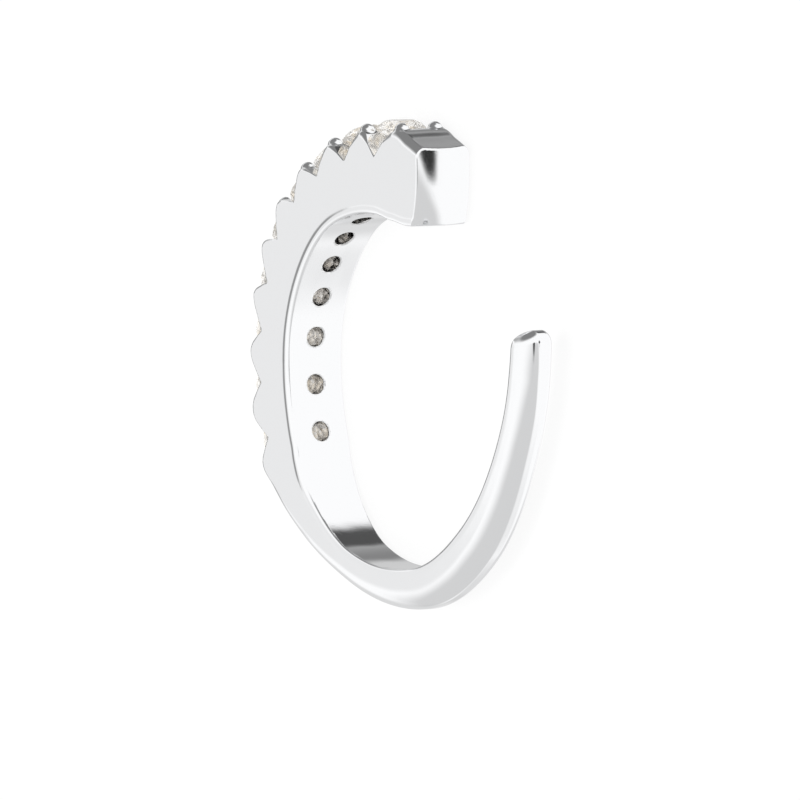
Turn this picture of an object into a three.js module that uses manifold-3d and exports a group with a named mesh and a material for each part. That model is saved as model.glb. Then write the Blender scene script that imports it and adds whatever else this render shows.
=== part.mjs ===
// Ear cuff: one cast silver band with a single row of nine round stones.
// Millimetres. The cuff lies on its side: X and Y lie in the plane of the ring, +Z is the ring's axis,
// and the origin is under the middle of the cuff's outline, on the side face that it rests on.

import * as THREE from 'three';
import { mergeVertices } from 'three/addons/utils/BufferGeometryUtils.js';
import Module from 'manifold-3d';

const wasm = await Module();
wasm.setup();

// Driving dimensions of the band, measured from the ring centre, which is the centre of the row of stones
const rowRadius = 6.27; // ring centre to the ridges between the stones
const settingWall = 1.84; // inner surface to the ridges, in the middle of the row
const bandWidth = 1.74; // across the row and the end block
const blockHeight = 1.92; // height of the end face
const blockLength = 2.1; // first ridge to the end face, along the band
const blockDrop = 0.28; // how far the block's top falls from the first ridge to the end face
const shankThickness = 1.0;
const shankWidth = 1.25;
const mouthTurn = 53.5; // degrees of the ring left open between the tip and the end block
const edgeRound = 0.2; // how far the soft inner edges reach up the side faces
const edgeSink = 0.07; // how far they fall in from the side faces
const endRound = 0.3; // rounding round the end face
const tipLength = 0.42; // length of the shank's rounded tip
const endTurn = 61; // degrees from +X to the inner corner of the end face

// Driving dimensions of the stones and their setting
const stoneCount = 9;
const stoneDiameter = 1.34;
const stoneGap = 0.125; // girdle to girdle, at the height of the girdles
const girdleDrop = 0.06; // girdles below the ridges
const girdleFollow = 0.6; // how much of the ridges' rise and fall the stones follow
const seatClearance = 0.035; // stone to metal
const notchDepth = 0.78; // deepest V cut between two ridges, next to the end block
const ridgeTop = 0.22; // flat left on each ridge between two V cuts
const cutTilt = 6; // degrees that each V cut's axis turns from the ring's radius towards the end block
const beadRadius = 0.2;
const beadSpread = 0.52; // each bead's centre from the middle of the band
const beadSink = 0.05; // each bead's centre below the top of its ridge
const azureDiameter = 0.52; // hole under each stone, through to the inner surface

// Proportions of the cut stones
const stoneRadius = stoneDiameter / 2;
const stoneShape = {
  girdle: 0.03 * stoneDiameter,
  crown: 0.15 * stoneDiameter,
  pavilion: 0.43 * stoneDiameter,
  table: 0.29 * stoneDiameter,
  starTip: 0.4 * stoneDiameter,
  lowerTip: 0.12 * stoneDiameter,
};
const pavilionSlope = stoneShape.pavilion / stoneRadius;

// Sections and sides of the solids
const blockSections = 4;
const shankSections = 26;
const tipSections = 5;
const innerArcSteps = 3;
const crownArcSteps = 5;
const seatSides = 24;
const beadSides = 14;
const beadRings = 8;

const silver = { name: 'silver', color: 0xd9dbde, roughness: 0.14, metalness: 1 };
const clearStone = { name: 'clear_stone', color: 0xf4eee6, roughness: 0.03, metalness: 0 };

const radians = THREE.MathUtils.degToRad;
const degrees = THREE.MathUtils.radToDeg;

// Turns, in degrees about the ring centre, counted from +X towards +Y
const girdleRadius = rowRadius - girdleDrop;
const stoneStep = degrees((stoneDiameter + stoneGap) / girdleRadius);
const firstRidge = endTurn + degrees(blockLength / rowRadius);
const lastRidge = firstRidge + stoneCount * stoneStep;
const tipTurn = endTurn + 360 - mouthTurn;
const rowTurn = (share) => THREE.MathUtils.lerp(firstRidge, lastRidge, share);
const blockTurn = (share) => THREE.MathUtils.lerp(endTurn, firstRidge, share);
const shankTurn = (share) => THREE.MathUtils.lerp(lastRidge, tipTurn, share);

// Tables of the band's sections. Each row sits at a turn, and its lengths are shares of the named sizes:
// outer, the radius of the outer surface;
// wall, the depth from there to the inner surface;
// width, from side face to side face;
// lean, how many degrees further round the outer surface is than the inner one;
// crownWide and crownHigh, the outer edges' rounding as shares of the half width and of the wall;
// tilt, how many degrees a stone's axis turns from the ring's radius towards the end block.
const endOuter = rowRadius - blockDrop;
const blockProfile = [
  [0, endOuter, 0.98 * blockHeight, 7],
  [0.5, endOuter + 0.5 * blockDrop, 1.16 * blockHeight, 4],
].map(([share, outer, wall, lean]) => ({
  turn: blockTurn(share), outer, wall, width: bandWidth, lean, crownWide: 0.28, crownHigh: 0.14, tilt: 4,
}));
const rowProfile = [
  [0, 1.0, 1.29, 0.24, 0.12, 4],
  [0.09, 1.0, 1.21, 0.22, 0.11, 2],
  [0.2, 1.003, 1.14, 0.2, 0.09, -1],
  [0.36, 1.02, 1.09, 0.16, 0.06, -2],
  [0.5, 1.03, 1.11, 0.14, 0.05, -4.5],
  [0.62, 1.018, 1.06, 0.14, 0.05, -4.5],
  [0.75, 1.004, 1.0, 0.14, 0.05, -1],
  [0.87, 1.015, 1.01, 0.14, 0.05, 6],
  [1, 1.028, 0.97, 0.16, 0.06, 10],
].map(([share, outer, wall, crownWide, crownHigh, tilt]) => ({
  turn: rowTurn(share), outer: outer * rowRadius, wall: wall * settingWall, width: bandWidth, lean: 0,
  crownWide, crownHigh, tilt,
}));
const shankProfile = [
  [0.03, 1.018, 1.59, 1.38, 0.25, 0.14],
  [0.07, 1.016, 1.43, 1.35, 0.4, 0.25],
  [0.12, 1.012, 1.28, 1.24, 0.5, 0.35],
  [0.24, 1.0, 1.02, 1.08, 0.85, 0.6],
  [0.42, 1.0, 1.06, 1.0, 0.95, 0.68],
  [0.6, 0.96, 1.03, 0.98, 0.95, 0.68],
  [0.78, 0.918, 0.82, 0.93, 0.95, 0.66],
  [0.92, 0.953, 0.8, 0.89, 0.95, 0.62],
  [1, 0.993, 0.78, 0.87, 0.95, 0.6],
].map(([share, outer, wall, width, crownWide, crownHigh]) => ({
  turn: shankTurn(share), outer: outer * rowRadius, wall: wall * shankThickness, width: width * shankWidth,
  lean: 0, crownWide, crownHigh, tilt: 0,
}));
const profile = [...blockProfile, ...rowProfile, ...shankProfile];

// The V cuts along the row: depth below the row radius, as a share of notchDepth, and how many degrees
// further round than its stone each cut is
const notchProfile = [
  [0, 1.0, 0.3],
  [0.17, 0.83, 0],
  [0.28, 0.66, 0.1],
  [0.39, 0.51, 0],
  [0.5, 0.5, -0.3],
  [0.61, 0.6, -0.9],
  [0.72, 0.63, -1.1],
  [0.83, 0.57, -1.1],
  [1, 0.5, 0],
].map(([share, depth, ahead]) => ({ turn: rowTurn(share), depth, ahead }));

// The stones sit wider apart next to the end block: how far each place along the row is moved on, as a share
// of the stones' spacing
const leadProfile = [
  [0, 0.04],
  [0.11, 0.125],
  [0.22, 0.185],
  [0.33, 0.165],
  [0.67, 0.03],
  [0.83, 0.02],
  [1, 0.045],
].map(([share, lead]) => ({ turn: rowTurn(share), lead }));

// Smooth value of a table's column between its rows, which never swings past the rows' values
function smoothValue(table, turn, read) {
  const last = table.length - 1;
  const clamped = THREE.MathUtils.clamp(turn, table[0].turn, table[last].turn);
  let row = 0;
  while (row < last - 1 && clamped > table[row + 1].turn) row += 1;
  const slopeAt = (index) => {
    const before = table[Math.max(index - 1, 0)];
    const here = table[index];
    const after = table[Math.min(index + 1, last)];
    const riseBefore = read(here) - read(before);
    const riseAfter = read(after) - read(here);
    const isPeak = index > 0 && index < last && riseBefore * riseAfter <= 0;
    return isPeak ? 0 : (riseBefore + riseAfter) / (after.turn - before.turn);
  };
  const span = table[row + 1].turn - table[row].turn;
  const share = (clamped - table[row].turn) / span;
  const rise = read(table[row + 1]) - read(table[row]);
  const startSlope = slopeAt(row) * span;
  const endSlope = slopeAt(row + 1) * span;
  const bend = share * (1 - share);
  return read(table[row]) + rise * share
    + bend * ((startSlope - rise) * (1 - share) - (endSlope - rise) * share);
}

const outerAt = (turn) => smoothValue(profile, turn, (row) => row.outer);
const girdleAt = (turn) => girdleRadius + girdleFollow * (outerAt(turn) - rowRadius);

// Turn of a place along the row, counted in stones from the first ridge
function placeTurn(place) {
  const even = firstRidge + place * stoneStep;
  return even + stoneStep * smoothValue(leadProfile, even, (row) => row.lead);
}

function pointAt(turn, radius) {
  return new THREE.Vector3(radius * Math.cos(radians(turn)), radius * Math.sin(radians(turn)), 0);
}

// Closed outline of the band at one turn: a flat inner side with soft edges and a crowned outer side.
// inset draws every side in, for the rounded ends.
function bandRing(turn, inset = 0) {
  const value = (read) => smoothValue(profile, turn, read);
  const outer = value((row) => row.outer);
  const inner = outer - value((row) => row.wall);
  const halfWidth = value((row) => row.width) / 2 - inset;
  const innerPoint = pointAt(turn, inner);
  const outerPoint = pointAt(turn + value((row) => row.lean), outer);
  const across = new THREE.Vector3().subVectors(outerPoint, innerPoint);
  const wall = across.length() - 2 * inset;
  across.normalize();
  const base = innerPoint.addScaledVector(across, inset);
  const leastRound = 0.15;
  const mostRound = 0.45;
  const mostCrown = 0.96;
  const roundLeft = Math.max(1 - inset / endRound, leastRound);
  const edgeReach = Math.min(roundLeft * edgeRound, mostRound * wall);
  const edgeDepth = Math.min(roundLeft * edgeSink, mostRound * halfWidth);
  const crownWidth = value((row) => row.crownWide) * halfWidth;
  const crownHeight = Math.min(value((row) => row.crownHigh) * wall, mostCrown * (wall - edgeReach));
  const half = [];
  for (let step = innerArcSteps; step >= 0; step -= 1) {
    const angle = (step / innerArcSteps) * (Math.PI / 2);
    half.push([edgeReach * (1 - Math.sin(angle)), halfWidth - edgeDepth * (1 - Math.cos(angle))]);
  }
  for (let step = 0; step <= crownArcSteps; step += 1) {
    const angle = (step / crownArcSteps) * (Math.PI / 2);
    half.push([wall - crownHeight * (1 - Math.sin(angle)), halfWidth - crownWidth * (1 - Math.cos(angle))]);
  }
  const mirrored = half.map(([depth, side]) => [depth, -side]).reverse();
  return [...half, ...mirrored].map(([depth, side]) => {
    const point = base.clone().addScaledVector(across, depth);
    return point.setZ(side);
  });
}

// Closed solid through rings of equal point counts, with flat ends
function loft(rings) {
  const count = rings[0].length;
  const positions = rings.flat().flatMap((point) => point.toArray());
  const index = [];
  for (let ring = 0; ring < rings.length - 1; ring += 1) {
    for (let side = 0; side < count; side += 1) {
      const next = (side + 1) % count;
      const near = ring * count;
      const far = near + count;
      index.push(near + side, near + next, far + next, near + side, far + next, far + side);
    }
  }
  const lastRing = (rings.length - 1) * count;
  for (let side = 1; side < count - 1; side += 1) {
    index.push(0, side + 1, side, lastRing, lastRing + side, lastRing + side + 1);
  }
  const geometry = new THREE.BufferGeometry();
  geometry.setAttribute('position', new THREE.Float32BufferAttribute(positions, 3));
  geometry.setIndex(index);
  return geometry;
}

function toSolid(geometry, matrix = new THREE.Matrix4()) {
  const plain = geometry.clone().applyMatrix4(matrix);
  plain.deleteAttribute('normal');
  plain.deleteAttribute('uv');
  const merged = mergeVertices(plain, 1e-5);
  const index = [];
  for (let corner = 0; corner < merged.index.count; corner += 3) {
    const [a, b, c] = [0, 1, 2].map((offset) => merged.index.getX(corner + offset));
    if (a !== b && b !== c && c !== a) index.push(a, b, c);
  }
  return new wasm.Manifold(new wasm.Mesh({
    numProp: 3,
    vertProperties: new Float32Array(merged.attributes.position.array),
    triVerts: new Uint32Array(index),
  }));
}

function toGeometry(solid) {
  const mesh = solid.getMesh();
  const geometry = new THREE.BufferGeometry();
  geometry.setAttribute('position', new THREE.Float32BufferAttribute(mesh.vertProperties, 3));
  geometry.setIndex(Array.from(mesh.triVerts));
  geometry.computeVertexNormals();
  return geometry;
}

// Frame at a place on the row: local X along the band, local Y along the ring axis, local Z outwards, turned
// from the ring's radius towards the end block by the tilt
function rowFrame(turn, radius, tilt) {
  const axis = new THREE.Vector3(0, 0, 1);
  const outward = pointAt(turn - tilt, 1);
  const along = new THREE.Vector3().crossVectors(axis, outward);
  return new THREE.Matrix4().makeBasis(along, axis, outward).setPosition(pointAt(turn, radius));
}

function stoneFrame(turn) {
  return rowFrame(turn, girdleAt(turn), smoothValue(profile, turn, (row) => row.tilt));
}

// The whole band before any cut: rounded end face, end block, row, shank and rounded tip
function bandBody() {
  const { lerp } = THREE.MathUtils;
  const roundTurn = degrees(endRound / (rowRadius - blockHeight / 2));
  const blockStart = endTurn + roundTurn;
  const rings = [0, 30, 60, 90].map(radians).map((angle) => (
    bandRing(endTurn + roundTurn * (1 - Math.cos(angle)), endRound * (1 - Math.sin(angle)))
  ));
  for (let section = 1; section < blockSections; section += 1) {
    rings.push(bandRing(lerp(blockStart, firstRidge, section / blockSections)));
  }
  for (let half = 0; half <= 2 * stoneCount; half += 1) {
    rings.push(bandRing(firstRidge + (half * stoneStep) / 2));
  }
  const tipRound = degrees(tipLength / (rowRadius - shankThickness / 2));
  const tipStart = tipTurn - tipRound;
  for (let section = 1; section <= shankSections; section += 1) {
    rings.push(bandRing(lerp(lastRidge, tipStart, section / shankSections)));
  }
  const halfTip = Math.min(profile.at(-1).wall, profile.at(-1).width) / 2;
  const lastAngle = radians(78);
  for (let section = 1; section <= tipSections; section += 1) {
    const angle = (section / tipSections) * lastAngle;
    rings.push(bandRing(tipStart + tipRound * Math.sin(angle), halfTip * (1 - Math.cos(angle))));
  }
  return toSolid(loft(rings));
}

// V cut across the band beside a stone, which leaves a flat on the ridges at its two sides
function notchCutter(stoneTurn) {
  const value = (read) => smoothValue(notchProfile, stoneTurn, read);
  const turn = stoneTurn + value((row) => row.ahead);
  const depth = notchDepth * value((row) => row.depth);
  const halfStep = radians(stoneStep / 2);
  const halfOpening = rowRadius * Math.sin(halfStep) - ridgeTop / 2;
  const chordSink = rowRadius * (1 - Math.cos(halfStep));
  const slope = (depth + outerAt(turn) - rowRadius - chordSink) / halfOpening;
  const above = 0.5 * notchDepth;
  const flare = (depth + above) / slope;
  const shape = new THREE.Shape([
    new THREE.Vector2(0, -depth),
    new THREE.Vector2(flare, above),
    new THREE.Vector2(-flare, above),
  ]);
  const length = 1.5 * bandWidth;
  const prism = new THREE.ExtrudeGeometry(shape, { depth: length, bevelEnabled: false });
  prism.translate(0, 0, -length / 2);
  prism.rotateX(Math.PI / 2);
  return toSolid(prism, rowFrame(turn, rowRadius, cutTilt));
}

// Room for one stone: the hole under it, the cone under its girdle and the cylinder above
function seatCutter(turn) {
  const seatRadius = stoneRadius + seatClearance;
  const holeRadius = azureDiameter / 2;
  const coneTop = -stoneShape.girdle / 2 - seatClearance / 2;
  const coneBottom = coneTop - (seatRadius - holeRadius) * pavilionSlope;
  const seatTop = 2 * beadRadius;
  const reach = 1.6 * settingWall;
  const lathe = new THREE.LatheGeometry([
    new THREE.Vector2(0, -reach),
    new THREE.Vector2(holeRadius, -reach),
    new THREE.Vector2(holeRadius, coneBottom),
    new THREE.Vector2(seatRadius, coneTop),
    new THREE.Vector2(seatRadius, seatTop),
    new THREE.Vector2(0, seatTop),
  ], seatSides);
  lathe.rotateX(Math.PI / 2);
  return toSolid(lathe, stoneFrame(turn));
}

// Round bead on one end of a ridge, which holds the stones beside it
function bead(turn, side) {
  const ball = new THREE.SphereGeometry(beadRadius, beadSides, beadRings);
  ball.translate(0, side * beadSpread, 0);
  return toSolid(ball, rowFrame(turn, outerAt(turn) - beadSink, 0));
}

// Round brilliant: an octagonal table, kite, star and girdle facets above, long mains and halves below
function brilliant() {
  const { girdle, crown, pavilion, table, starTip, lowerTip } = stoneShape;
  const ringPoint = (eighth, ringRadius, height) => {
    const angle = (eighth * Math.PI) / 4;
    return [ringRadius * Math.cos(angle), ringRadius * Math.sin(angle), height];
  };
  const halfTurn = Math.cos(Math.PI / 8);
  const crownSlope = crown / (stoneRadius - table);
  const tableHeight = girdle / 2 + crown;
  const starHeight = tableHeight - (starTip * halfTurn - table) * crownSlope;
  const lowerHeight = -girdle / 2 - (stoneRadius - lowerTip * halfTurn) * pavilionSlope;
  const culet = [0, 0, -girdle / 2 - pavilion];
  const corners = [];
  const triangle = (...points) => points.forEach((point) => corners.push(...point));
  for (let k = 0; k < 8; k += 1) {
    const tableHere = ringPoint(k, table, tableHeight);
    const tableNext = ringPoint(k + 1, table, tableHeight);
    const star = ringPoint(k + 0.5, starTip, starHeight);
    const starBefore = ringPoint(k - 0.5, starTip, starHeight);
    const eighths = [k - 0.5, k, k + 0.5];
    const upper = eighths.map((eighth) => ringPoint(eighth, stoneRadius, girdle / 2));
    const under = eighths.map((eighth) => ringPoint(eighth, stoneRadius, -girdle / 2));
    const lower = ringPoint(k + 0.5, lowerTip, lowerHeight);
    const lowerBefore = ringPoint(k - 0.5, lowerTip, lowerHeight);
    if (k > 0 && k < 7) triangle(ringPoint(0, table, tableHeight), tableHere, tableNext);
    triangle(tableHere, star, tableNext);
    triangle(tableHere, starBefore, upper[1]);
    triangle(tableHere, upper[1], star);
    triangle(star, upper[1], upper[2]);
    triangle(starBefore, upper[0], upper[1]);
    triangle(upper[0], under[0], under[1]);
    triangle(upper[0], under[1], upper[1]);
    triangle(upper[1], under[1], under[2]);
    triangle(upper[1], under[2], upper[2]);
    triangle(lower, under[2], under[1]);
    triangle(lowerBefore, under[1], under[0]);
    triangle(culet, lower, under[1]);
    triangle(culet, under[1], lowerBefore);
  }
  const geometry = new THREE.BufferGeometry();
  geometry.setAttribute('position', new THREE.Float32BufferAttribute(corners, 3));
  geometry.computeVertexNormals();
  return geometry;
}

const stoneTurns = Array.from({ length: stoneCount }, (_, k) => placeTurn(k + 0.5));
const ridgeTurns = Array.from({ length: stoneCount + 1 }, (_, k) => placeTurn(k));

// The silver band in one piece, with its V cuts, beads and seats
function cuffBand() {
  let solid = bandBody();
  stoneTurns.forEach((turn) => { solid = solid.subtract(notchCutter(turn)); });
  ridgeTurns.forEach((turn) => {
    [-1, 1].forEach((side) => { solid = solid.add(bead(turn, side)); });
  });
  stoneTurns.forEach((turn) => { solid = solid.subtract(seatCutter(turn)); });
  const mesh = new THREE.Mesh(toGeometry(solid), new THREE.MeshStandardMaterial(silver));
  mesh.name = 'cuff_band';
  return mesh;
}

// One stone in its seat, counted from the end block
function stone(number, turn, geometry) {
  const mesh = new THREE.Mesh(geometry, new THREE.MeshStandardMaterial(clearStone));
  mesh.name = `stone_${String(number).padStart(2, '0')}`;
  mesh.applyMatrix4(stoneFrame(turn));
  return mesh;
}

const cuff = new THREE.Group();
cuff.add(cuffBand());
const stoneGeometry = brilliant();
stoneTurns.forEach((turn, k) => cuff.add(stone(k + 1, turn, stoneGeometry)));

const box = new THREE.Box3().setFromObject(cuff, true);
const middle = box.getCenter(new THREE.Vector3());
cuff.position.set(-middle.x, -middle.y, -box.min.z);

export default cuff;
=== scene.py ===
"""Dresses the ear cuff: a finely worked silver band, clear cut stones and a plain pale stage.

The band's surface is worked out from the same sizes and section tables as the solid model. Lengths are
kept in metres in the property groups and in millimetres in the arrays.
"""

import math
from itertools import product
from types import SimpleNamespace

import bpy
import numpy as np
from mathutils import Matrix, Vector


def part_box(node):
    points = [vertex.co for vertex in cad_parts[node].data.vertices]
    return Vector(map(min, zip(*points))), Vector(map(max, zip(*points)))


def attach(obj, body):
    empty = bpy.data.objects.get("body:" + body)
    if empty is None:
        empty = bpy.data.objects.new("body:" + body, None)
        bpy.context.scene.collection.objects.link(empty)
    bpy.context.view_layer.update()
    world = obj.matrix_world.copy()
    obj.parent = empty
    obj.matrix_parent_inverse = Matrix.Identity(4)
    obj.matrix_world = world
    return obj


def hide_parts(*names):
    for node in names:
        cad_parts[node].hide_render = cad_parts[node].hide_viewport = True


bl_info = {
    "name": "Ear Cuff",
    "version": (1, 0, 0),
    "blender": (4, 5, 0),
    "location": "View3D > Sidebar > Ear Cuff",
    "description": "Builds the ear cuff's silver band, dresses its stones and sets a plain stage",
    "category": "Object",
}

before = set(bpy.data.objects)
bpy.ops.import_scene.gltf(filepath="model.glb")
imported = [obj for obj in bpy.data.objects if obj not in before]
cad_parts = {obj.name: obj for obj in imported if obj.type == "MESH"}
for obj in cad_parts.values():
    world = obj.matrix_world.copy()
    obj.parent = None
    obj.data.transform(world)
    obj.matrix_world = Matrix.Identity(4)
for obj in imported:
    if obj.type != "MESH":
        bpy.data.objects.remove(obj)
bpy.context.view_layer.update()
STONE_NAMES = sorted(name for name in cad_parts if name.startswith("stone_"))
BODY = "root"
MM = 0.001


# Settings that a user would change


def length(name, description, millimetres):
    """Property for a length, given here in millimetres and kept in metres."""
    return bpy.props.FloatProperty(
        name=name, description=description, default=millimetres * MM, min=0.0, precision=6, unit="LENGTH"
    )


def turn(name, description, degrees):
    """Property for an angle, given here in degrees and kept in radians."""
    return bpy.props.FloatProperty(
        name=name, description=description, default=math.radians(degrees), precision=4, unit="ROTATION"
    )


def amount(name, description, default, top=1.0):
    """Property for a plain share or strength."""
    return bpy.props.FloatProperty(name=name, description=description, default=default, min=0.0, max=top)


def colour(name, description, default):
    """Property for a linear colour."""
    return bpy.props.FloatVectorProperty(
        name=name, description=description, default=default, min=0.0, max=1.0, size=3, subtype="COLOR"
    )


class CuffBandSizes(bpy.types.PropertyGroup):
    """Sizes of the silver band, measured from the ring centre where they are radii."""

    row_radius: length("Row radius", "Ring centre to the ridges between the stones", 6.27)
    setting_wall: length("Setting wall", "Inner surface to the ridges, in the middle of the row", 1.84)
    band_width: length("Band width", "Across the row and the end block", 1.74)
    block_height: length("Block height", "Height of the end face", 1.92)
    block_length: length("Block length", "First ridge to the end face", 2.1)
    block_drop: length("Block drop", "How far the block's top falls towards the end face", 0.28)
    shank_thickness: length("Shank thickness", "Depth of the smooth shank", 1.0)
    shank_width: length("Shank width", "Width of the smooth shank", 1.25)
    edge_round: length("Inner edge", "How far the soft inner edges reach up the side faces", 0.2)
    edge_sink: length("Inner edge sink", "How far the inner edges fall in from the side faces", 0.07)
    rim_rise: length("Inner rim", "How far the rims of the opening stand out from the side faces", 0.028)
    rim_width: length("Inner rim width", "Width of the raised rims' slope", 0.15)
    end_round: length("End rounding", "Rounding round the end face", 0.045)
    end_dome: length("End dome", "How far the end face's side rims fall back from its middle", 0.2)
    end_swell: length("End swell", "How far its upper and lower rims fall back", 0.12)
    tip_length: length("Tip length", "Length of the shank's rounded tip", 0.42)
    mouth_turn: turn("Mouth", "Part of the ring left open between the tip and the end block", 53.5)
    end_turn: turn("End face", "Turn from +X to the inner corner of the end face", 61)


class CuffSettingSizes(bpy.types.PropertyGroup):
    """Sizes of the stones' setting."""

    stone_diameter: length("Stone diameter", "Across the girdle", 1.34)
    stone_gap: length("Stone gap", "Girdle to girdle", 0.125)
    girdle_drop: length("Girdle drop", "Girdles below the ridges", 0.06)
    girdle_follow: amount("Girdle follow", "How much of the ridges' rise and fall the stones follow", 0.6)
    seat_clearance: length("Seat clearance", "Stone to metal", 0.035)
    notch_depth: length("V cut depth", "Deepest V cut, next to the end block", 0.78)
    ridge_top: length("Ridge top", "Flat left on each ridge between two V cuts", 0.22)
    bead_radius: length("Bead radius", "Round prong beads", 0.2)
    bead_spread: length("Bead spread", "Each bead's centre from the middle of the band", 0.52)
    bead_sink: length("Bead sink", "Each bead's centre below the top of its ridge", 0.05)
    azure_diameter: length("Azure hole", "Hole under each stone, through to the inner surface", 0.52)
    cut_tilt: turn("V cut tilt", "Turn of each V cut's axis towards the end block", 6)
    cut_round: length("Cut rounding", "Rounding of the ridges between the V cuts", 0.18)
    cut_edge: length("Cut edge", "Softened edges of the V cuts on the side faces", 0.03)
    bead_fillet: length("Bead fillet", "Metal drawn up round the foot of each bead", 0.05)
    seat_round: length("Seat rounding", "Softened rims of the seats and holes", 0.035)


class CuffFinish(bpy.types.PropertyGroup):
    """Colours and polish."""

    silver: colour("Silver", "Polished silver", (0.925, 0.93, 0.94))
    # Darker, duller silver inside the seats and holes.
    recess_silver: colour("Tarnish", "Silver that the polishing wheel doesn't reach", (0.75, 0.74, 0.73))
    polish: amount("Polish", "Roughness of the polished faces", 0.085)
    stone: colour("Stone", "Faint warm tint of the stones", (1.0, 0.995, 0.985))
    # Painted fire: warmer colour in random spots, standing in for the coloured light of the stones' fire.
    painted_stone_fire: colour("Stone fire", "Warmer light in some of the facets", (1.0, 0.88, 0.7))
    # Painted glow: the stones' emission gives off light of their own, in place of light sent back from
    # inside.
    stone_painted_glow: colour("Stone glow", "Light that the stones send back from inside", (1.0, 0.96, 0.9))
    painted_glow_strength: amount("Glow strength", "Strength of the stones' glow", 0.07)


class CuffStage(bpy.types.PropertyGroup):
    """Floor, light and camera."""

    floor: colour("Floor", "Pale floor", (0.2, 0.2, 0.2))
    sky: amount("Studio walls", "Brightness of the white studio walls", 1.05, 4.0)
    glow: amount("Floor glow", "Light of the floor's own, as in a lit tent", 0.84)
    overhead: amount("Overhead light", "Power of the floor's soft box in watts", 1.5, 100.0)
    camera_distance: length("Camera distance", "From the middle of the picture", 600)


# Form of the band


def smooth_value(turns, values, at):
    """A table's column between its rows, as a cubic through them that never swings past the rows' values.

    Each row's slope is the rise from the row before to the row after over their spacing, or none at a peak.
    """
    turns, values = np.asarray(turns, float), np.asarray(values, float)
    rises, spans = np.diff(values), np.diff(turns)
    slopes = np.empty_like(values)
    slopes[1:-1] = (values[2:] - values[:-2]) / (turns[2:] - turns[:-2])
    slopes[1:-1][rises[:-1] * rises[1:] <= 0] = 0.0
    slopes[0], slopes[-1] = rises[0] / spans[0], rises[-1] / spans[-1]
    at = np.clip(at, turns[0], turns[-1])
    row = np.clip(np.searchsorted(turns, at) - 1, 0, len(spans) - 1)
    share = (at - turns[row]) / spans[row]
    start, end = slopes[row] * spans[row] - rises[row], slopes[row + 1] * spans[row] - rises[row]
    return values[row] + rises[row] * share + share * (1 - share) * (start * (1 - share) - end * share)


def round_max(a, b, radius):
    """What two distances have in common, with the edge between them rounded to a radius."""
    corner = np.hypot(np.maximum(a + radius, 0), np.maximum(b + radius, 0))
    return np.minimum(np.maximum(a, b), -radius) + corner


def round_min(a, b, radius):
    """Two distances joined, with a fillet of a radius between them."""
    return -round_max(-a, -b, radius)


def direction(degrees):
    """Unit vectors at turns from +X towards +Y, as a pair of arrays."""
    angle = np.radians(degrees)
    return np.cos(angle), np.sin(angle)


def in_millimetres(group):
    """The lengths of a property group in millimetres, and its turns in degrees."""
    values = {}
    for key in group.__annotations__:
        unit = group.bl_rna.properties[key].unit
        scale = {"LENGTH": 1 / MM, "ROTATION": math.degrees(1)}.get(unit, 1.0)
        values[key] = getattr(group, key) * scale
    return SimpleNamespace(**values)


def corner_distance(along, up, wide, high):
    """Distance from two faces that meet in an elliptic edge, given how far a point is past each face.

    Near the edge the ellipse's own value over its slope stands for the distance.
    """
    in_along, in_up = along + wide, up + high
    reach = np.hypot(in_along / wide, in_up / high)
    steep = np.maximum(np.hypot(in_along / wide**2, in_up / high**2), 1e-9)
    return np.where((in_along > 0) & (in_up > 0), reach * (reach - 1) / steep, np.maximum(along, up))


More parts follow.
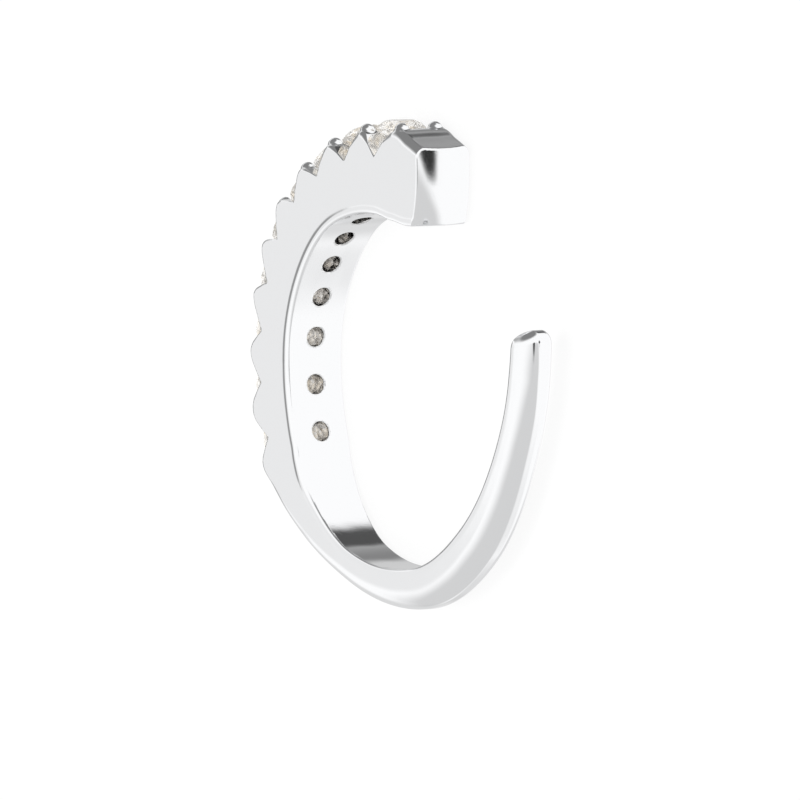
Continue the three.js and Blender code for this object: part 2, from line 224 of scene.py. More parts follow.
class BandForm:
    """The band as a field over space: a point's distance from the metal's surface, below zero inside it.

    The ring centre is the origin and the ring's axis is z. A point's section is the one whose leaning plane
    it lies in; there, depth runs from the inner surface outwards and side from the middle of the band.
    """

    columns = ("outer", "wall", "width", "lean", "crown_wide", "crown_high", "tilt", "taper")
    # Step of the lookup tables, and how far they go on past the end face and the tip, in degrees
    lookup_step = 0.04
    lookup_margin = 8
    # How far a V cut, a pair of beads and a seat reach from their middles, counted in stones
    notch_reach = 1.3
    bead_reach = 0.6
    seat_reach = 1.0
    # Share of the soft inner edge where the raised rims start to fall, and how fast they end in the taper
    rim_start = 0.6
    rim_end = 4
    # Share of the deepest V cut at which a crown is gone, and share of the wall that it takes at most
    crown_gone = 0.5
    crown_most = 0.96
    # The tip's rounding as a share of its half thickness
    tip_round = 0.92

    def __init__(self, band, setting, stone_count):
        self.band = in_millimetres(band)
        self.cut = in_millimetres(setting)
        self.stone_count = stone_count
        band, cut = self.band, self.cut
        self.girdle_radius = band.row_radius - cut.girdle_drop
        self.stone_step = math.degrees((cut.stone_diameter + cut.stone_gap) / self.girdle_radius)
        self.first_ridge = band.end_turn + math.degrees(band.block_length / band.row_radius)
        self.last_ridge = self.first_ridge + stone_count * self.stone_step
        self.tip_turn = band.end_turn + 360 - band.mouth_turn
        self.mouth_middle = band.end_turn - band.mouth_turn / 2
        self.ridges = self.place_turn(np.arange(stone_count + 1))
        self.stones = self.place_turn(np.arange(stone_count) + 0.5)
        rows = self.block_rows() + self.row_rows() + self.shank_rows()
        first_turn = band.end_turn - self.lookup_margin
        self.lookup_turns = np.arange(first_turn, self.tip_turn + self.lookup_margin, self.lookup_step)
        turns = [row[0] for row in rows]
        self.lookup = {
            name: smooth_value(turns, [row[1 + place] for row in rows], self.lookup_turns)
            for place, name in enumerate(self.columns)
        }

    def block_rows(self):
        """Sections of the end block: share of the block, outer drop left, wall share and lean."""
        band = self.band
        crown_wide, crown_high, tilt, taper = 0.28, 0.14, 4, 0
        rows = [(0.0, 1.0, 0.98, 7), (0.5, 0.5, 1.16, 4)]
        return [
            (
                band.end_turn + share * (self.first_ridge - band.end_turn),
                band.row_radius - drop * band.block_drop,
                wall * band.block_height,
                band.band_width,
                lean,
                crown_wide,
                crown_high,
                tilt,
                taper,
            )
            for share, drop, wall, lean in rows
        ]

    def row_rows(self):
        """Sections of the stone row: share of it, outer and wall shares, crown and the stones' tilt."""
        band = self.band
        lean, taper = 0, 0
        rows = [
            (0.0, 1.0, 1.29, 0.24, 0.12, 4),
            (0.09, 1.0, 1.21, 0.22, 0.11, 2),
            (0.2, 1.003, 1.14, 0.2, 0.09, -1),
            (0.36, 1.02, 1.09, 0.16, 0.06, -2),
            (0.5, 1.03, 1.11, 0.14, 0.05, -4.5),
            (0.62, 1.018, 1.06, 0.14, 0.05, -4.5),
            (0.75, 1.004, 1.0, 0.14, 0.05, -1),
            (0.87, 1.015, 1.01, 0.14, 0.05, 6),
            (1.0, 1.028, 0.97, 0.16, 0.06, 10),
        ]
        return [
            (
                self.row_turn(share),
                outer * band.row_radius,
                wall * band.setting_wall,
                band.band_width,
                lean,
                wide,
                high,
                tilt,
                taper,
            )
            for share, outer, wall, wide, high, tilt in rows
        ]

    def shank_rows(self):
        """Sections of the shank: share of it, outer, wall and width shares, crown and taper."""
        band = self.band
        lean, tilt = 0, 0
        rows = [
            (0.03, 1.018, 1.59, 1.38, 0.25, 0.14, 0.02),
            (0.07, 1.016, 1.43, 1.36, 0.35, 0.22, 0.08),
            (0.12, 1.012, 1.28, 1.26, 0.45, 0.3, 0.14),
            (0.24, 1.0, 1.02, 1.1, 0.7, 0.5, 0.24),
            (0.42, 1.0, 1.06, 1.02, 0.8, 0.55, 0.28),
            (0.6, 0.96, 1.03, 1.0, 0.8, 0.55, 0.28),
            (0.78, 0.918, 0.82, 0.94, 0.8, 0.55, 0.27),
            (0.92, 0.953, 0.8, 0.9, 0.8, 0.55, 0.27),
            (1.0, 0.991, 0.78, 0.88, 0.8, 0.55, 0.27),
        ]
        return [
            (
                self.last_ridge + share * (self.tip_turn - self.last_ridge),
                outer * band.row_radius,
                wall * band.shank_thickness,
                width * band.shank_width,
                lean,
                wide,
                high,
                tilt,
                taper,
            )
            for share, outer, wall, width, wide, high, taper in rows
        ]

    def value(self, name, at):
        """A column of the section tables at the given turns."""
        return np.interp(at, self.lookup_turns, self.lookup[name])

    def row_turn(self, share):
        """Turn at a share of the stone row."""
        return self.first_ridge + share * (self.last_ridge - self.first_ridge)

    def place_turn(self, place):
        """Turns of places along the row, counted in stones: a little wider apart next to the end block."""
        shares = np.array([0, 0.11, 0.22, 0.33, 0.67, 0.83, 1])
        leads = [0.04, 0.125, 0.185, 0.165, 0.03, 0.02, 0.045]
        even = self.first_ridge + place * self.stone_step
        return even + self.stone_step * smooth_value(self.row_turn(shares), leads, even)

    def notch(self, stone_turn):
        """Turn of the V cut beside a stone, its depth below the row radius and half its opening."""
        band, cut = self.band, self.cut
        shares = np.array([0, 0.17, 0.28, 0.39, 0.5, 0.61, 0.72, 0.83, 1])
        depths = [1.0, 0.83, 0.66, 0.51, 0.5, 0.6, 0.63, 0.57, 0.5]
        openings = [1.0, 1.0, 0.95, 0.88, 0.8, 0.8, 0.84, 0.86, 0.86]
        aheads = [0.3, 0, 0.1, 0, -0.3, -0.9, -1.1, -1.1, 0]
        turns = self.row_turn(shares)
        depth, opening, ahead = (
            float(smooth_value(turns, column, stone_turn)) for column in (depths, openings, aheads)
        )
        widest = band.row_radius * math.sin(math.radians(self.stone_step / 2)) - cut.ridge_top / 2
        return stone_turn + ahead, cut.notch_depth * depth, widest * opening

    def girdle_at(self, at):
        """Radius of the stones' girdles at a turn, which follows the ridges in part."""
        rise = self.value("outer", at) - self.band.row_radius
        return self.girdle_radius + self.cut.girdle_follow * rise

    def section_line(self, at):
        """A section's inner point, its direction outwards and its wall, each at the given turns."""
        outer = self.value("outer", at)
        inner = outer - self.value("wall", at)
        inner_x, inner_y = (inner * part for part in direction(at))
        outer_x, outer_y = (outer * part for part in direction(at + self.value("lean", at)))
        across_x, across_y = outer_x - inner_x, outer_y - inner_y
        wall = np.hypot(across_x, across_y)
        return inner_x, inner_y, across_x / wall, across_y / wall, wall

    def place(self, at, depth, side):
        """Points in space for turns, depths and sides: the section's inner point, plus depth outwards."""
        inner_x, inner_y, out_x, out_y, _ = self.section_line(at)
        return np.stack([inner_x + depth * out_x, inner_y + depth * out_y, side + 0 * at], axis=-1)

    def turn_and_depth(self, x, y):
        """Turn, depth and wall of the section whose leaning line passes through each point.

        The turn is brought closer in a few rounds, with no step longer than at the least radius.
        """
        rounds, least_radius = 3, 1.0
        radius = np.hypot(x, y)
        polar = np.degrees(np.arctan2(y, x))
        polar = np.mod(polar - self.mouth_middle, 360) + self.mouth_middle
        at = polar.copy()
        for _ in range(rounds):
            inner_x, inner_y, out_x, out_y, wall = self.section_line(at)
            beside = (y - inner_y) * out_x - (x - inner_x) * out_y
            at = at + np.degrees(beside / np.maximum(radius, least_radius))
        inner_x, inner_y, out_x, out_y, wall = self.section_line(at)
        return at, (x - inner_x) * out_x + (y - inner_y) * out_y, wall

    def section_distance(self, at, depth, side, wall, above):
        """Distance from a section: a flat inner side with soft corners, and crowned outer corners.

        above is how far the point lies over the outer surface with its V cuts. The crown shrinks to a small
        rounding as that surface falls into a cut. The sides draw in by the taper's share towards the
        outside, and in the row they step down in a smooth slope behind the raised rims of the opening.
        """
        band, cut = self.band, self.cut
        half_width = self.value("width", at) / 2
        taper = self.value("taper", at)
        drawn = taper * np.clip(depth / wall, 0, 1)
        past_rim = np.clip((depth - self.rim_start * band.edge_round) / band.rim_width, 0, 1)
        rim_left = np.clip(1 - self.rim_end * taper, 0, 1)
        rim = band.rim_rise * past_rim**2 * (3 - 2 * past_rim) * rim_left
        beyond = (np.abs(side) - half_width * (1 - drawn) + rim) / np.hypot(1, taper * half_width / wall)
        inner = corner_distance(beyond, -depth, band.edge_sink, band.edge_round)
        fallen = np.clip((above - (depth - wall)) / (self.crown_gone * cut.notch_depth), 0, 1)
        wide = self.value("crown_wide", at) * half_width * (1 - taper)
        highest = self.crown_most * (wall - band.edge_round)
        high = np.minimum(self.value("crown_high", at) * wall, highest)
        wide, high = (size + (cut.cut_edge - size) * fallen for size in (wide, high))
        return np.maximum(inner, corner_distance(beyond, above, wide, high))

    def body_distance(self, points):
        """Distance from the whole band with its V cuts, rounded end face and tip, and each point's turn."""
        band, cut = self.band, self.cut
        x, y, side = points[..., 0], points[..., 1], points[..., 2]
        at, depth, wall = self.turn_and_depth(x, y)
        above = depth - wall
        for middle in self.stones:
            part = self.near(at, middle, self.notch_reach)
            above[part] = round_max(above[part], -self.notch_distance(points[part], middle), cut.cut_round)
        section = self.section_distance(at, depth, side, wall, above)
        radius = np.hypot(x, y)
        before_end = np.radians(band.end_turn - at) * radius
        before_end += band.end_dome * np.minimum(np.abs(2 * side / band.band_width), 1) ** 2
        before_end += band.end_swell * np.minimum(np.abs(2 * depth / wall - 1), 1) ** 2
        body = round_max(section, before_end, band.end_round)
        half_tip = min(self.value("wall", self.tip_turn), self.value("width", self.tip_turn)) / 2
        past_tip = np.radians(at - self.tip_turn) * radius * half_tip / band.tip_length
        rounded = round_max(body, past_tip, self.tip_round * half_tip)
        return np.where(at > self.last_ridge, rounded, body), at

    def row_frame(self, points, at, radius, tilt):
        """Each point's place along the band and above an origin on the row, its axis turned by the tilt."""
        out_x, out_y = direction(at - tilt)
        origin_x, origin_y = (radius * part for part in direction(at))
        x, y = points[..., 0] - origin_x, points[..., 1] - origin_y
        return y * out_x - x * out_y, x * out_x + y * out_y

    def stone_frame(self, points, at):
        """Each point's place along the band and above the middle of a stone's girdle."""
        return self.row_frame(points, at, self.girdle_at(at), self.value("tilt", at))

    def notch_distance(self, points, stone_turn):
        """Distance from a V cut: two planes that meet across the band, its bottom slightly round."""
        band, cut = self.band, self.cut
        at, depth, half_opening = self.notch(stone_turn)
        along, up = self.row_frame(points, at, band.row_radius, cut.cut_tilt)
        chord_sink = band.row_radius * (1 - math.cos(math.radians(self.stone_step / 2)))
        slope = (depth + self.value("outer", at) - band.row_radius - chord_sink) / half_opening
        bottom_round = 0.02
        spread = np.hypot(along, bottom_round) - bottom_round
        return (slope * spread - (up + depth)) / math.hypot(slope, 1)

    def seat_distance(self, points, at):
        """Distance from a seat: an azure hole that widens in a cone to a cylinder round the girdle."""
        cut = self.cut
        along, up = self.stone_frame(points, at)
        out = np.hypot(along, points[..., 2])
        seat_radius = cut.stone_diameter / 2 + cut.seat_clearance
        pavilion_slope = 0.86
        half_girdle = 0.015 * cut.stone_diameter
        upper_round = 0.3 * cut.seat_round
        cone_top = -half_girdle - cut.seat_clearance / 2
        cone_radius = seat_radius + (up - cone_top) / pavilion_slope
        cone = (out - cone_radius) * math.sin(math.atan(pavilion_slope))
        lower = round_min(cone, out - cut.azure_diameter / 2, cut.seat_round)
        return round_max(lower, out - seat_radius, upper_round)

    def bead_distance(self, points, at):
        """Distance from the two round beads on a ridge."""
        cut = self.cut
        centre = (self.value("outer", at) - cut.bead_sink) * np.array(direction(at))
        across = np.abs(points[..., 2]) - cut.bead_spread
        flat = np.hypot(points[..., 0] - centre[0], points[..., 1] - centre[1])
        return np.hypot(flat, across) - cut.bead_radius

    def near(self, at, middle, steps):
        """Places in a flat array of turns that lie within some stone steps of a turn."""
        return np.flatnonzero(np.abs(at - middle) < steps * self.stone_step)

    def distance(self, points):
        """Distance from the finished band: the body with its V cuts, plus the beads, less the seats."""
        flat = points.reshape(-1, 3)
        field, at = self.body_distance(flat)
        cut = self.cut
        for middle in self.ridges:
            part = self.near(at, middle, self.bead_reach)
            field[part] = round_min(field[part], self.bead_distance(flat[part], middle), cut.bead_fillet)
        for middle in self.stones:
            part = self.near(at, middle, self.seat_reach)
            field[part] = round_max(field[part], -self.seat_distance(flat[part], middle), cut.seat_round)
        return field.reshape(points.shape[:-1])

    def gradient(self, points, step):
        """Central differences of the field along x, y and z."""
        slopes = [
            self.distance(points + step * axis) - self.distance(points - step * axis) for axis in np.eye(3)
        ]
        return np.stack(slopes, axis=-1) / (2 * step)

    def settle(self, points, rounds):
        """Points moved down the gradient until they lie on the surface."""
        step, least_steep, longest_shift = 0.002, 0.05, 0.03
        for _ in range(rounds):
            slope = self.gradient(points, step)
            steep = np.maximum((slope**2).sum(-1), least_steep)
            shift = -(self.distance(points) / steep)[:, None] * slope
            size = np.linalg.norm(shift, axis=1, keepdims=True)
            points = points + shift * np.minimum(1.0, longest_shift / np.maximum(size, 1e-9))
        return points


# Meshes


def surface_net(field):
    """Vertices, in grid units, and four-sided faces where a field over a grid changes sign.

    Each cell that the surface crosses has one vertex, at the mean of the crossings on its twelve edges, and
    each grid edge that the surface crosses has one face through the four cells round it.
    """
    inside = field < 0
    offsets = np.array(list(product((0, 1), repeat=3)))
    corners = [
        inside[tuple(slice(start, size - 1 + start) for start, size in zip(offset, field.shape))]
        for offset in offsets
    ]
    count = sum(corner.astype(np.int8) for corner in corners)
    active = (count > 0) & (count < len(corners))
    cells = np.argwhere(active)
    number = np.full(active.shape, -1)
    number[active] = np.arange(len(cells))
    total, crossings = np.zeros((len(cells), 3)), np.zeros(len(cells))
    for axis in range(3):
        step = np.eye(3, dtype=int)[axis]
        for offset in offsets[offsets[:, axis] == 0]:
            low = field[tuple((cells + offset).T)]
            high = field[tuple((cells + offset + step).T)]
            crossed = (low < 0) != (high < 0)
            share = np.where(crossed, low / np.where(crossed, low - high, 1.0), 0.0)
            total += crossed[:, None] * (cells + offset + share[:, None] * step)
            crossings += crossed
    quads = []
    for axis in range(3):
        one, other = (axis + 1) % 3, (axis + 2) % 3
        low = np.moveaxis(inside, (axis, one, other), (0, 1, 2))
        turned = np.moveaxis(number, (axis, one, other), (0, 1, 2))
        change = low[:-1] != low[1:]
        i, j, k = np.nonzero(change[:, 1:-1, 1:-1])
        j, k = j + 1, k + 1
        around = np.stack(
            [turned[i, j - 1, k - 1], turned[i, j, k - 1], turned[i, j, k], turned[i, j - 1, k]], axis=1
        )
        leaving = low[i, j, k]
        quads.append(np.where(leaving[:, None], around, around[:, ::-1]))
    return total / crossings[:, None], np.concatenate(quads)


def relaxed(points, quads, share):
    """Points moved a share of the way to the mean of the points that they are joined to."""
    ends = np.concatenate([quads[:, [k, (k + 1) % 4]] for k in range(4)])
    total = np.zeros_like(points)
    for (here, there), axis in product(((0, 1), (1, 0)), range(3)):
        total[:, axis] += np.bincount(ends[:, here], points[ends[:, there], axis], len(points))
    joined = np.bincount(ends.ravel(), minlength=len(points))[:, None]
    return points + share * (total / joined - points)


def outward(points, quads):
    """Faces turned so that the closed surface's volume is above zero."""
    a, b, c, d = (points[quads[:, k]] for k in range(4))
    volume = (np.cross(b - a, c - a) * (a + b + c)).sum() + (np.cross(c - a, d - a) * (a + c + d)).sum()
    return quads if volume > 0 else quads[:, ::-1]


def grid_steps(stops, steps):
    """Grid places through a list of stops, each stretch with its own largest step."""
    pieces = [
        np.linspace(low, high, max(2, math.ceil((high - low) / step) + 1))[:-1]
        for low, high, step in zip(stops[:-1], stops[1:], steps)
    ]
    return np.concatenate([*pieces, [stops[-1]]])


def band_surface(form):
    """Points, faces and outward directions of the finished band.

    The field is worked out on a grid that bends with the band, in turn, depth and side, fine in the setting
    and coarser along the smooth shank. The surface net through it is evened out and settled on the surface.
    """
    band = form.band
    fine, even, coarse, long = 0.038, 0.05, 0.075, 0.15
    per_degree = math.radians(band.row_radius)
    edge = 3 * fine / per_degree
    row_end, shank_start, tip_start = 4, 14, 7
    turns = grid_steps(
        [
            band.end_turn - edge,
            form.last_ridge + row_end,
            form.last_ridge + shank_start,
            form.tip_turn - tip_start,
            form.tip_turn + edge,
        ],
        [fine / per_degree, even / per_degree, long / per_degree, even / per_degree],
    )
    tallest, spare = 1.16, 0.1
    deepest = tallest * band.block_height + spare * band.setting_wall
    below, inner_edge, under_seats, above = -0.11, 0.14, 0.75, 0.25
    depths = grid_steps([below, inner_edge, under_seats, deepest + above], [fine, coarse, fine])
    half, beside = band.band_width / 2, 0.1
    sides = grid_steps([-half - beside, half + beside], [fine])
    grids = (turns, depths, sides)
    field = form.distance(form.place(*np.meshgrid(*grids, indexing="ij")))
    net, quads = surface_net(field)
    places = [np.interp(net[:, k], np.arange(len(stops)), stops) for k, stops in enumerate(grids)]
    first_rounds, evening_rounds, last_rounds = 3, 3, 2
    points = form.settle(form.place(*places), first_rounds)
    for _ in range(evening_rounds):
        points = form.settle(relaxed(points, quads, share=0.5), 1)
    points = form.settle(points, last_rounds)
    normals = form.gradient(points, step=0.004)
    normals /= np.linalg.norm(normals, axis=1, keepdims=True)
    return points, outward(points, quads), normals


def recess_share(form, points):
    """How far each point lies inside a seat or hole, from 0 on the open surface to 1.

    The share fades out a little way from the seat's surface and towards the seat's upper rim.
    """
    touch, fade, rim_height, rim_fade = 0.004, 0.02, 0.06, 0.1
    share = np.zeros(len(points))
    _, at = form.body_distance(points)
    for middle in form.stones:
        part = form.near(at, middle, form.seat_reach)
        inside = 1 - np.clip((form.seat_distance(points[part], middle) - touch) / fade, 0, 1)
        _, up = form.stone_frame(points[part], middle)
        share[part] = np.maximum(share[part], inside * np.clip((rim_height - up) / rim_fade, 0, 1))
    return share


def ring_centre(form):
    """The ring centre in the part's frame, in metres.

    The shank's lowest and rightmost reaches, which the tables give from the ring centre, are set against
    the same two sides of the solid band's box.
    """
    low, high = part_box("cuff_band")
    past_row, before_tip, step = 20, 4, 0.1
    turns = np.arange(form.last_ridge + past_row, form.tip_turn - before_tip, step)
    outer = form.value("outer", turns) * MM
    across, up = direction(turns)
    return Vector((high.x - (outer * across).max(), low.y - (outer * up).min(), (low.z + high.z) / 2))


def mesh_from_arrays(name, points, quads, normals):
    """Mesh object with smooth faces and the surface's own outward directions."""
    mesh = bpy.data.meshes.new(name)
    mesh.vertices.add(len(points))
    mesh.vertices.foreach_set("co", points.astype(np.float32).ravel())
    mesh.loops.add(quads.size)
    mesh.loops.foreach_set("vertex_index", quads.astype(np.int32).ravel())
    mesh.polygons.add(len(quads))
    mesh.polygons.foreach_set("loop_start", np.arange(0, quads.size, 4, dtype=np.int32))
    mesh.polygons.foreach_set("loop_total", np.full(len(quads), 4, dtype=np.int32))
    mesh.polygons.foreach_set("use_smooth", np.ones(len(quads), dtype=bool))
    mesh.update(calc_edges=True)
    mesh.normals_split_custom_set_from_vertices(normals.tolist())
    piece = bpy.data.objects.new(name, mesh)
    bpy.context.scene.collection.objects.link(piece)
    return piece


def add_attribute(piece, name, values):
    """Number on each vertex, for the material to read."""
    attribute = piece.data.attributes.new(name, "FLOAT", "POINT")
    attribute.data.foreach_set("value", values.astype(np.float32))


# Materials


def join(tree, value, socket):
    """Links a socket's value, or sets a plain one."""
    if isinstance(value, bpy.types.NodeSocket):
        tree.links.new(value, socket)
    else:
        socket.default_value = value


def add_node(tree, kind, settings=None, **inputs):
    """Node with its settings made and its inputs set or linked. An underscore in a name is a space."""
    node = tree.nodes.new(kind)
    for key, value in (settings or {}).items():
        setattr(node, key, value)
    for key, value in inputs.items():
        join(tree, value, node.inputs[key.replace("_", " ")])
    return node


def arithmetic(tree, operation, first, second):
    """Sum, product or the like of two values or sockets."""
    node = add_node(tree, "ShaderNodeMath", {"operation": operation})
    join(tree, first, node.inputs[0])
    join(tree, second, node.inputs[1])
    return node.outputs["Value"]


def vector_math(tree, operation, *given):
    """Node that works on vectors, given as values or sockets."""
    node = add_node(tree, "ShaderNodeVectorMath", {"operation": operation})
    for value, socket in zip(given, node.inputs):
        join(tree, value, socket)
    return node


def own_place(tree):
    """The piece's own coordinates."""
    return tree.nodes.new("ShaderNodeTexCoord").outputs["Object"]


def mix_colours(tree, factor, first, second):
    """Colour between two, by a value or socket."""
    node = add_node(tree, "ShaderNodeMix", {"data_type": "RGBA"})
    sockets = {socket.identifier: socket for socket in (*node.inputs, *node.outputs)}
    for name, value in (("Factor_Float", factor), ("A_Color", first), ("B_Color", second)):
        join(tree, value, sockets[name])
    return sockets["Result_Color"]


def polish_group():
    """Shader node group for hand-polished metal.

    Fine scratches in two directions, soft clouds left by the wheel and slow waves of the cast surface, all
    in millimetres on the piece's own coordinates. It gives a roughness, a height and a clouds mask.
    """
    group = bpy.data.node_groups.new("hand_polish", "ShaderNodeTree")
    face = group.interface
    for name, default in (("Roughness", 0.1), ("Scratches", 0.5), ("Clouds", 0.5), ("Waves", 0.5)):
        socket = face.new_socket(name=name, in_out="INPUT", socket_type="NodeSocketFloat")
        socket.default_value = default
    for name in ("Roughness", "Height", "Clouds"):
        face.new_socket(name=name, in_out="OUTPUT", socket_type="NodeSocketFloat")
    given = group.nodes.new("NodeGroupInput")
    result = group.nodes.new("NodeGroupOutput")
    place = own_place(group)
    per_mm = (1000, 1000, 1000)
    base_share, scratch_roughness, scratch_height = 0.75, 0.05, 0.02

    def noise(stretch, scale, detail, turned=0.0):
        askew = (0.3, 0.2, turned)
        mapping = add_node(group, "ShaderNodeMapping", Vector=place, Scale=stretch, Rotation=askew)
        spot = mapping.outputs["Vector"]
        return add_node(group, "ShaderNodeTexNoise", Vector=spot, Scale=scale, Detail=detail).outputs["Fac"]

    def thin_lines(stretch, turned):
        lines = noise(stretch, 1.0, 2.0, turned)
        ramp = add_node(group, "ShaderNodeMapRange", Value=lines, From_Min=0.6, From_Max=0.72)
        return ramp.outputs["Result"]

    scratches = arithmetic(
        group, "ADD", thin_lines((900, 30000, 9000), 0.9), thin_lines((26000, 1200, 8000), 2.2)
    )
    scratches = arithmetic(group, "MULTIPLY", scratches, given.outputs["Scratches"])
    clouds = noise(per_mm, 1.3, 3.0)
    cloud_share = arithmetic(group, "MULTIPLY", clouds, given.outputs["Clouds"])
    waves = arithmetic(group, "MULTIPLY", noise(per_mm, 0.9, 1.0), given.outputs["Waves"])
    rough = arithmetic(group, "ADD", base_share, cloud_share)
    rough = arithmetic(group, "MULTIPLY", rough, given.outputs["Roughness"])
    rough = arithmetic(group, "ADD", rough, arithmetic(group, "MULTIPLY", scratches, scratch_roughness))
    height = arithmetic(group, "SUBTRACT", waves, arithmetic(group, "MULTIPLY", scratches, scratch_height))
    group.links.new(rough, result.inputs["Roughness"])
    group.links.new(height, result.inputs["Height"])
    group.links.new(clouds, result.inputs["Clouds"])
    return group


def polish_node_group():
    """The one polish group, made at its first use."""
    return bpy.data.node_groups.get("hand_polish") or polish_group()


def new_material(name):
    """Empty node material with its output, and its tree."""
    material = bpy.data.materials.new(name)
    material.use_nodes = True
    tree = material.node_tree
    tree.nodes.clear()
    return material, tree


def show(tree, shader):
    """Links a shader to the material's output."""
    output = tree.nodes.new("ShaderNodeOutputMaterial")
    tree.links.new(shader.outputs["BSDF"], output.inputs["Surface"])


def silver_material(finish, polish):
    """Polished silver that is darker, duller and pitted inside the seats and holes."""
    material, tree = new_material("polished_silver")
    dull_roughness, pit_height = 0.1, 2.0
    group = add_node(
        tree,
        "ShaderNodeGroup",
        {"node_tree": polish},
        Roughness=finish.polish,
        Scratches=0.5,
        Clouds=0.5,
        Waves=0.6,
    )
    recess = add_node(tree, "ShaderNodeAttribute", {"attribute_name": "recess"}).outputs["Fac"]
    # Darker, duller silver inside the seats and holes, in patches that follow the polish clouds.
    recess_patches = add_node(
        tree, "ShaderNodeMapRange", Value=group.outputs["Clouds"], From_Min=0.35, From_Max=0.65, To_Min=0.6
    )
    dull = arithmetic(tree, "MULTIPLY", recess, recess_patches.outputs["Result"])
    base = mix_colours(tree, dull, (*finish.silver, 1), (*finish.recess_silver, 1))
    rough = arithmetic(tree, "MULTIPLY", dull, dull_roughness)
    rough = arithmetic(tree, "ADD", group.outputs["Roughness"], rough)
    cells = add_node(tree, "ShaderNodeTexVoronoi", Vector=own_place(tree), Scale=4200.0).outputs["Distance"]
    pits = arithmetic(tree, "MULTIPLY", cells, arithmetic(tree, "MULTIPLY", recess, pit_height))
    height = arithmetic(tree, "ADD", group.outputs["Height"], pits)
    bump = add_node(tree, "ShaderNodeBump", Height=height, Distance=0.00002, Strength=1.0)
    shader = add_node(
        tree,
        "ShaderNodeBsdfPrincipled",
        Base_Color=base,
        Metallic=1.0,
        Roughness=rough,
        Normal=bump.outputs["Normal"],
    )
    show(tree, shader)
    return material


def stone_material(finish, polish):
    """Clear cut stone with almost perfectly smooth facets, a warm tint, painted fire in spots and a painted
    glow.
    """
    material, tree = new_material("clear_stone")
    group = add_node(
        tree, "ShaderNodeGroup", {"node_tree": polish}, Roughness=0.02, Scratches=0.1, Clouds=0.6, Waves=0.0
    )
    spots = add_node(tree, "ShaderNodeTexNoise", Vector=own_place(tree), Scale=2600.0, Detail=1.0)
    spots = spots.outputs["Fac"]
    # Painted fire: base colour turned warmer in noise spots, standing in for the stones' coloured light.
    fire = add_node(tree, "ShaderNodeMapRange", Value=spots, From_Min=0.52, From_Max=0.62).outputs["Result"]
    shader = add_node(
        tree,
        "ShaderNodeBsdfPrincipled",
        Base_Color=mix_colours(tree, fire, (*finish.stone, 1), (*finish.painted_stone_fire, 1)),
        Roughness=group.outputs["Roughness"],
        Transmission_Weight=0.9,
        IOR=1.85,
        # Painted glow: emission that makes the stones give off a faint light of their own.
        Emission_Color=(*finish.stone_painted_glow, 1),
        Emission_Strength=finish.painted_glow_strength,
    )
    show(tree, shader)
    return material


def floor_material(stage):
    """Matt white sweep with a faint unevenness."""
    material, tree = new_material("pale_floor")
    noise = add_node(tree, "ShaderNodeTexNoise", Vector=own_place(tree), Scale=60.0, Detail=4.0)
    shade = add_node(tree, "ShaderNodeMapRange", Value=noise.outputs["Fac"], To_Min=0.985, To_Max=1.0)
    tint = add_node(tree, "ShaderNodeVectorMath", {"operation": "SCALE"})
    tint.inputs[0].default_value = stage.floor
    tree.links.new(shade.outputs["Result"], tint.inputs["Scale"])
    shader = add_node(
        tree,
        "ShaderNodeBsdfPrincipled",
        Base_Color=tint.outputs["Vector"],
        Roughness=0.9,
        Specular_IOR_Level=0.0,
        Emission_Color=(1, 1, 1, 1),
        Emission_Strength=stage.glow,
    )
    show(tree, shader)
    return material


# Stage


# The photograph's view: 800 pixels square, with the lens's scale and the pixel that shows the named point
FRAME_PIXELS = 800
PIXELS_PER_MM = 38.6
SEEN_PIXEL = (420, 370)
SEEN_POINT = Vector((0.40, -0.07, 0.0)) * MM
VIEW_TILT = math.radians(56)
VIEW_ROLL = math.radians(3.5)


def view_axes():
    """Right, up and back directions of the camera: tilted from the ring's axis towards +X, then rolled."""
    back = Vector((math.sin(VIEW_TILT), 0, math.cos(VIEW_TILT)))
    level = Vector((math.cos(VIEW_TILT), 0, -math.sin(VIEW_TILT)))
    upright = Vector((0, 1, 0))
    right = level * math.cos(VIEW_ROLL) - upright * math.sin(VIEW_ROLL)
    up = level * math.sin(VIEW_ROLL) + upright * math.cos(VIEW_ROLL)
    return right, up, back


def add_camera(stage, centre):
    """Camera with a long lens at the photograph's angle."""
    right, up, back = view_axes()
    metres_per_pixel = MM / PIXELS_PER_MM
    aim = centre + SEEN_POINT
    aim += right * (FRAME_PIXELS / 2 - SEEN_PIXEL[0]) * metres_per_pixel
    aim += up * (SEEN_PIXEL[1] - FRAME_PIXELS / 2) * metres_per_pixel
    data = bpy.data.cameras.new("photo_camera")
    data.sensor_width = 36.0
    data.lens = data.sensor_width * stage.camera_distance / (FRAME_PIXELS * metres_per_pixel)
    data.clip_start, data.clip_end = 0.01, 10.0
    camera = bpy.data.objects.new("photo_camera", data)
    turned = Matrix((right, up, back)).transposed().to_4x4()
    camera.matrix_world = Matrix.Translation(aim + back * stage.camera_distance) @ turned
    bpy.context.scene.collection.objects.link(camera)
    bpy.context.scene.camera = camera


def add_floor(stage):
    """Round floor just under the cuff, its edge far outside every view."""
    sides, reach, gap = 96, 2.5, 0.000002
    angle = np.linspace(0, 2 * np.pi, sides, endpoint=False)
    rim = np.stack([reach * np.cos(angle), reach * np.sin(angle), np.full(sides, -gap)], axis=1)
    mesh = bpy.data.meshes.new("floor")
    mesh.from_pydata(rim.tolist(), [], [tuple(range(sides))])
    floor = bpy.data.objects.new("floor", mesh)
    floor.data.materials.append(floor_material(stage))
    bpy.context.scene.collection.objects.link(floor)
    floor.visible_glossy = False


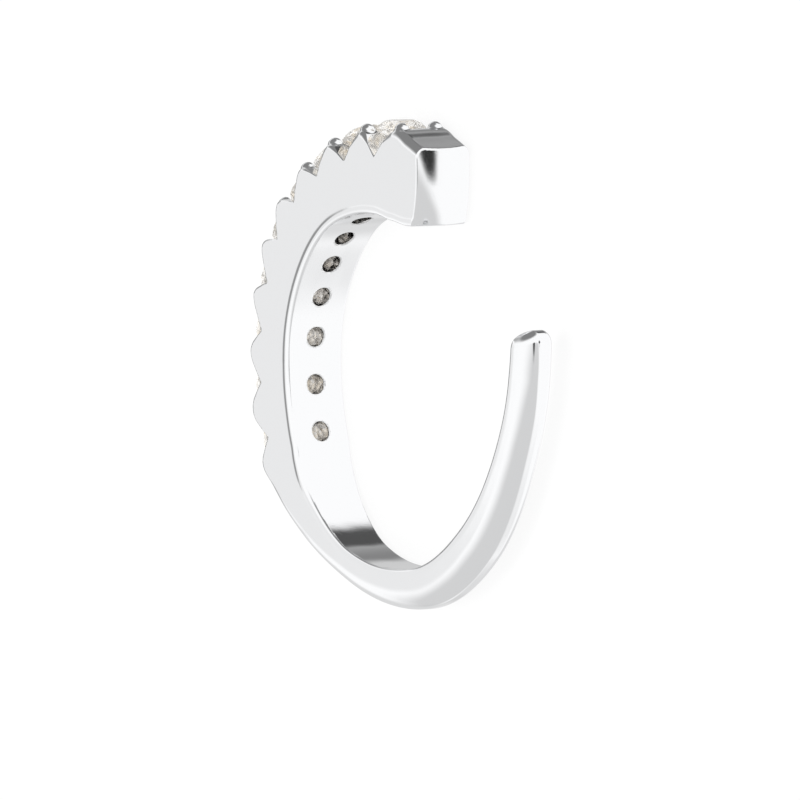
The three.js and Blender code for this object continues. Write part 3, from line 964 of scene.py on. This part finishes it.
# Soft grey patches on the white studio walls: turn from +X and height of the middle, how flat the patch is
# drawn, how far its full shade and its fading reach, and the brightness left. Angles are in degrees.
WALL_PATCHES = (
    (180, 34, 1, 10, 22, 0.83),
    (171, 4, 1, 15, 25, 0.3),
    (100, 22, 1, 30, 52, 0.22),
    (115, -34, 1, 18, 28, 0.38),
    (155, -34, 1, 14, 34, 0.6),
    (103, -34, 1, 7, 14, 0.22),
    (358, -14, 1, 5, 12, 0.03),
    (350, 33, 1, 4, 10, 0.06),
    (282, 12, 2.36, 62, 76, 0.65),
    (232, -46, 1, 12, 24, 0.72),
    (204, -18, 1, 12, 26, 0.7),
)


def wall_direction(turned, height):
    """Unit vector towards a place on the studio walls."""
    turned, height = math.radians(turned), math.radians(height)
    level = math.cos(height)
    return Vector((level * math.cos(turned), level * math.sin(turned), math.sin(height)))


def add_world(stage):
    """White studio whose walls fall to grey in a few broad soft patches, which the silver reflects."""
    world = bpy.data.worlds.new("white_studio")
    bpy.context.scene.world = world
    world.use_nodes = True
    tree = world.node_tree
    tree.nodes.clear()
    way = tree.nodes.new("ShaderNodeTexCoord").outputs["Generated"]
    shade = stage.sky
    for turned, height, flat, full, faded, left in WALL_PATCHES:
        drawn = vector_math(tree, "MULTIPLY", way, (1, 1, flat))
        drawn = vector_math(tree, "NORMALIZE", drawn.outputs["Vector"])
        facing = vector_math(tree, "DOT_PRODUCT", drawn.outputs["Vector"], wall_direction(turned, height))
        fade = add_node(
            tree,
            "ShaderNodeMapRange",
            {"interpolation_type": "SMOOTHSTEP"},
            Value=facing.outputs["Value"],
            From_Min=math.cos(math.radians(faded)),
            From_Max=math.cos(math.radians(full)),
            To_Min=1.0,
            To_Max=left,
        )
        shade = arithmetic(tree, "MULTIPLY", shade, fade.outputs["Result"])
    background = add_node(tree, "ShaderNodeBackground", Color=(1, 1, 1, 1), Strength=shade)
    output = tree.nodes.new("ShaderNodeOutputWorld")
    tree.links.new(background.outputs["Background"], output.inputs["Surface"])


def add_soft_box(name, place, size, watts):
    """Square area light that faces the cuff and lights matt surfaces alone."""
    data = bpy.data.lights.new(name, "AREA")
    data.size = size
    data.energy = watts
    light = bpy.data.objects.new(name, data)
    place = Vector(place)
    light.matrix_world = Matrix.Translation(place) @ place.to_track_quat("Z", "Y").to_matrix().to_4x4()
    light.visible_glossy = False
    light.visible_transmission = False
    bpy.context.scene.collection.objects.link(light)


# Operators


class CUFF_OT_band(bpy.types.Operator):
    """Build the silver band and put it in the place of the plain solid."""

    bl_idname = "cuff.band"
    bl_label = "Silver Band"

    def execute(self, context):
        scene = context.scene
        form = BandForm(scene.cuff_band_sizes, scene.cuff_setting_sizes, len(STONE_NAMES))
        points, quads, normals = band_surface(form)
        centre = np.array(ring_centre(form))
        piece = mesh_from_arrays("silver_band", points * MM + centre, quads, normals)
        add_attribute(piece, "recess", recess_share(form, points))
        piece.data.materials.append(silver_material(scene.cuff_finish, polish_node_group()))
        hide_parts("cuff_band")
        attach(piece, BODY)
        return {"FINISHED"}


class CUFF_OT_stones(bpy.types.Operator):
    """Give the cut stones their clear material."""

    bl_idname = "cuff.stones"
    bl_label = "Cut Stones"

    def execute(self, context):
        material = stone_material(context.scene.cuff_finish, polish_node_group())
        for name in STONE_NAMES:
            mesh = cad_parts[name].data
            mesh.materials.clear()
            mesh.materials.append(material)
        return {"FINISHED"}


class CUFF_OT_stage(bpy.types.Operator):
    """Set the pale floor, the soft studio light and the camera."""

    bl_idname = "cuff.stage"
    bl_label = "Stage"

    def execute(self, context):
        scene = context.scene
        stage = scene.cuff_stage
        form = BandForm(scene.cuff_band_sizes, scene.cuff_setting_sizes, len(STONE_NAMES))
        add_floor(stage)
        add_world(stage)
        add_soft_box("floor_box", place=(0.0, 0.0, 0.8), size=0.6, watts=stage.overhead)
        add_camera(stage, ring_centre(form))
        scene.view_settings.view_transform = "Standard"
        return {"FINISHED"}


class CUFF_PT_panel(bpy.types.Panel):
    """Sidebar panel that lists the builders."""

    bl_idname = "CUFF_PT_panel"
    bl_label = "Ear Cuff"
    bl_space_type = "VIEW_3D"
    bl_region_type = "UI"
    bl_category = "Ear Cuff"

    def draw(self, context):
        for operator in (CUFF_OT_band, CUFF_OT_stones, CUFF_OT_stage):
            self.layout.operator(operator.bl_idname)
        for holder in HOLDERS:
            group = getattr(context.scene, holder)
            for key in group.__annotations__:
                self.layout.prop(group, key)


HOLDERS = {
    "cuff_band_sizes": CuffBandSizes,
    "cuff_setting_sizes": CuffSettingSizes,
    "cuff_finish": CuffFinish,
    "cuff_stage": CuffStage,
}
CLASSES = (*HOLDERS.values(), CUFF_OT_band, CUFF_OT_stones, CUFF_OT_stage, CUFF_PT_panel)


def register():
    """Registers the classes and hangs the settings on the scene."""
    for item in CLASSES:
        bpy.utils.register_class(item)
    for holder, group in HOLDERS.items():
        setattr(bpy.types.Scene, holder, bpy.props.PointerProperty(type=group))


def unregister():
    """Takes the settings off the scene and the classes away."""
    for holder in HOLDERS:
        delattr(bpy.types.Scene, holder)
    for item in reversed(CLASSES):
        bpy.utils.unregister_class(item)


def main():
    """Builds everything in order."""
    register()
    bpy.ops.cuff.band()
    bpy.ops.cuff.stones()
    bpy.ops.cuff.stage()


if __name__ == "__main__":
    main()
